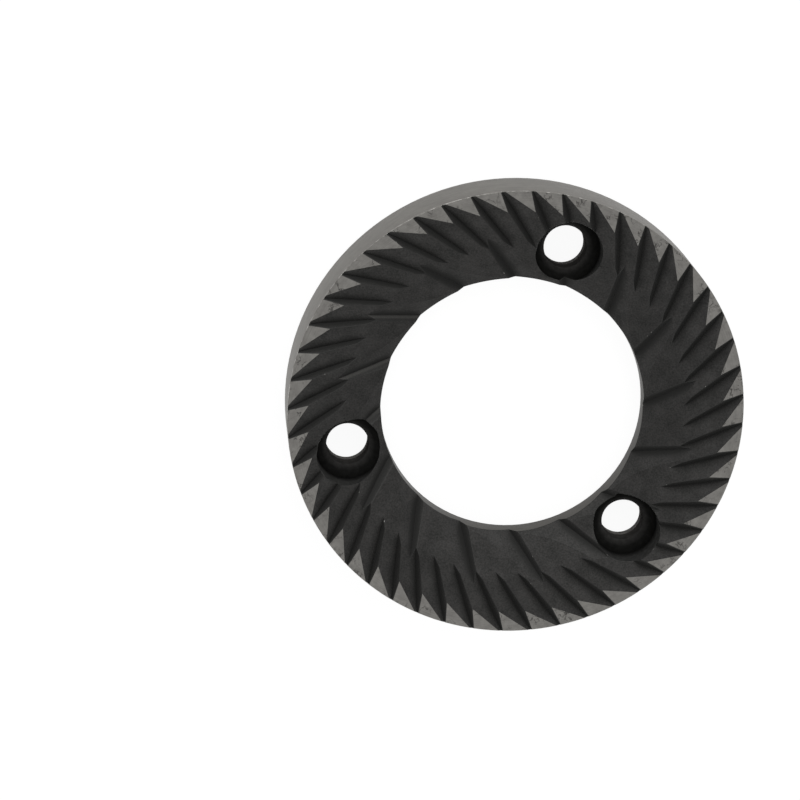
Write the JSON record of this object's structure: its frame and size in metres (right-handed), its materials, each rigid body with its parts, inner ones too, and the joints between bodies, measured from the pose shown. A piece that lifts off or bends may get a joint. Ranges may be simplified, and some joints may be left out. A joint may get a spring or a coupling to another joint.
{
  "type": "coffee grinder burr",
  "caption": "Flat ring-shaped coffee grinder burr with skewed fine teeth at the rim, breaker grooves down a cone round the bore and sunk screw holes.",
  "frame": {"origin": "centre of the back face, on the ring's axis", "axes": "+Z along the ring's axis towards the teeth; +Y through the centre of one screw hole"},
  "size_m": [0.064, 0.064, 0.009],
  "materials": {
    "hardened_steel": "dark heat-treated grooves with ground lands, rim and bore"
  },
  "bodies": {
    "root": {"burr": "hardened_steel"}
  },
  "joints": []
}
